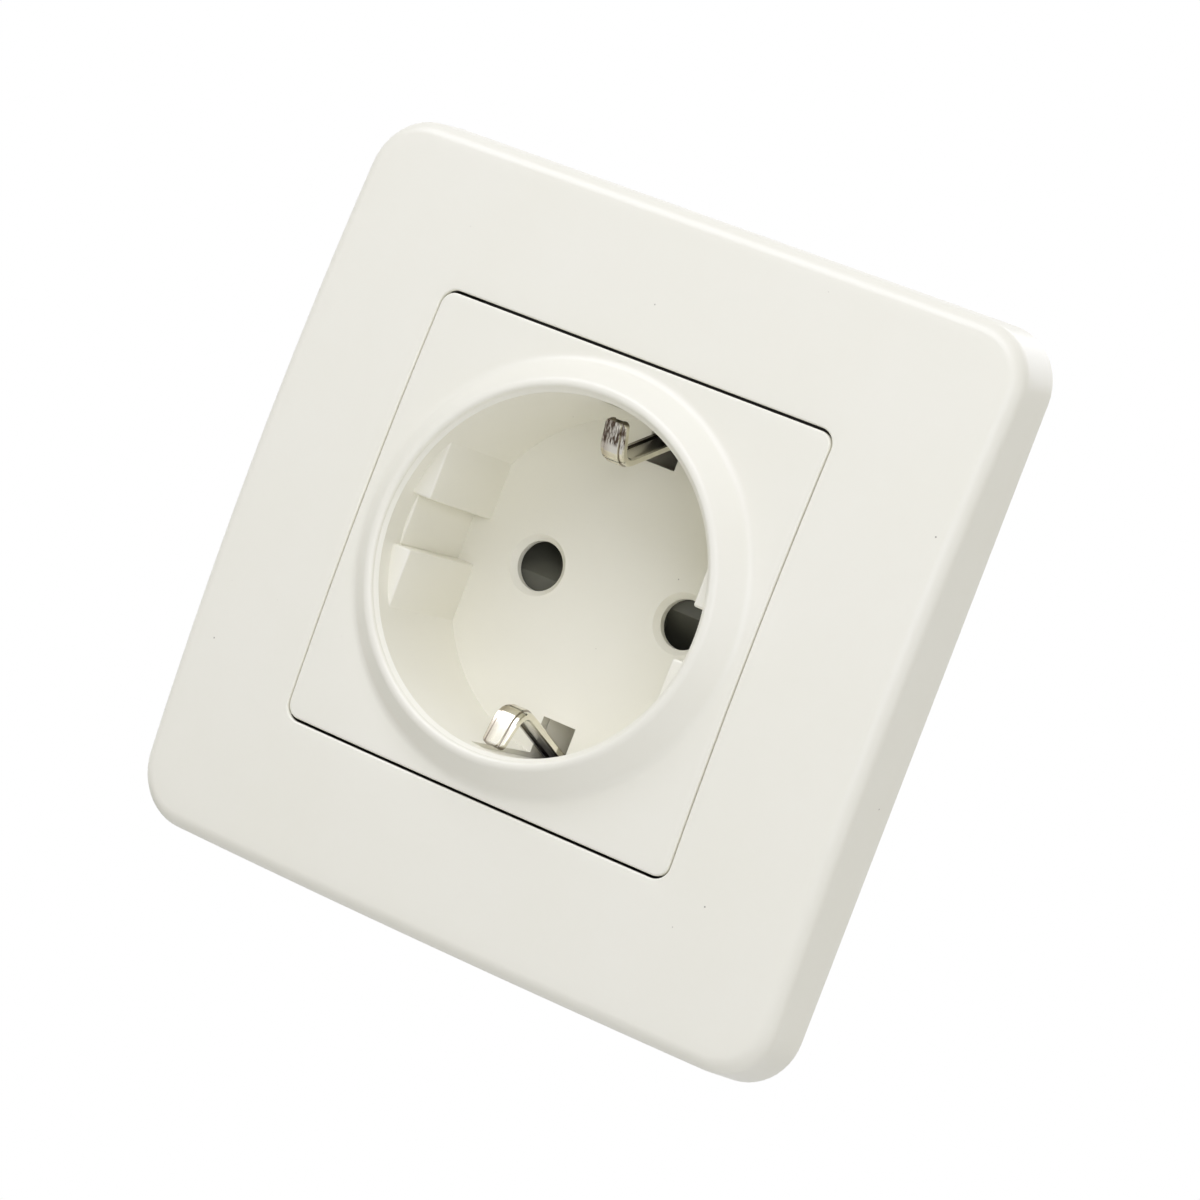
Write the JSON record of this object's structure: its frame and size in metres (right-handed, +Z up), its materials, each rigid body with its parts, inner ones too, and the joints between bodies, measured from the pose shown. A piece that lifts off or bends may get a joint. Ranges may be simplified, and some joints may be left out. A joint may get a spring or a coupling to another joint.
{
  "type": "type f wall socket",
  "caption": "Flush earthed wall socket with a square cover frame, round sunk well, side earth clips, shuttered pin holes and a boxed base that fits a round wall box.",
  "frame": {"origin": "centre of the wall plane on the well's axis, in the middle of the support ring's back face", "axes": "+Z up, +X to the right seen from the front, the front faces -Y"},
  "size_m": [0.084, 0.0434, 0.084],
  "materials": {
    "face_plastic": "satin",
    "shutter_plastic": "matte",
    "base_plastic": "matte",
    "spring_steel": "bright",
    "plated_steel": "zinc plated",
    "rivet_metal": "satin",
    "nickel_plate": "polished",
    "brass": "satin"
  },
  "bodies": {
    "socket": {"cover_frame": "face_plastic", "centre_plate": "face_plastic", "shutter_spring": "spring_steel", "shutter_cover": "shutter_plastic", "shutter_screws": "plated_steel", "support_ring": "plated_steel", "base_housing": "base_plastic", "rear_cover": "base_plastic", "housing_rivets": "rivet_metal", "earth_bracket": "nickel_plate", "earth_terminal": "brass", "earth_screw": "plated_steel", "live_contact": "brass", "live_grip_spring": "spring_steel", "live_terminal": "brass", "live_screw": "plated_steel", "neutral_contact": "brass", "neutral_grip_spring": "spring_steel", "neutral_terminal": "brass", "neutral_screw": "plated_steel"},
    "turning_shutter": {"shutter": "shutter_plastic"}
  },
  "joints": [
    {"name": "shutter_turn", "type": "hinge", "parent": "socket", "child": "turning_shutter", "pos_m": [0, 0.0086, 0], "axis": [0, -1, 0], "range_deg": [0, 40], "stiffness_Nm_per_rad": 0.004, "springref_deg": -11.46, "deforming": ["shutter_spring"]}
  ]
}
